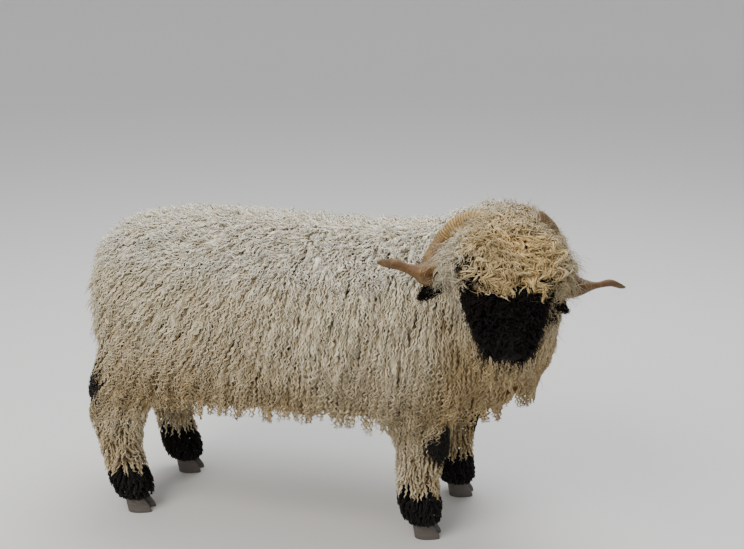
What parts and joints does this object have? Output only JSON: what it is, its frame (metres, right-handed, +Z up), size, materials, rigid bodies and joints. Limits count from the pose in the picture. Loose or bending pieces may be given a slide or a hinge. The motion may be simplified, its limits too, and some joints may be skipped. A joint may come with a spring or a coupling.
{
  "type": "valais blacknose sheep",
  "caption": "Still, life-size long-woolled horned ewe standing with her head turned to her right, black face and feet, curly cream fleece.",
  "frame": {"origin": "middle of the bounding box's base, on the floor under the body", "axes": "+X the way the body faces, +Y towards its left side, +Z up; the head is turned to -Y"},
  "size_m": [1.3356, 0.8038, 0.8943],
  "materials": {
    "fleece": "matte wavy wool",
    "topknot_wool": "matte curly wool",
    "black_wool": "matte short curly wool",
    "horn": "satin ridged horn",
    "eye": "wet and glossy",
    "claw": "satin horn"
  },
  "bodies": {
    "root": {"claw_fore_left_inner": "claw", "claw_fore_left_outer": "claw", "claw_fore_right_inner": "claw", "claw_fore_right_outer": "claw", "claw_hind_left_inner": "claw", "claw_hind_left_outer": "claw", "claw_hind_right_inner": "claw", "claw_hind_right_outer": "claw", "ear_left": "black_wool", "ear_right": "black_wool", "eye_left": "eye", "eye_right": "eye", "foreleg_left": "fleece", "foreleg_right": "fleece", "head": "topknot_wool", "hindleg_left": "fleece", "hindleg_right": "fleece", "horn_left": "horn", "horn_right": "horn", "neck": "fleece", "tail": "fleece", "trunk": "fleece"}
  },
  "joints": []
}
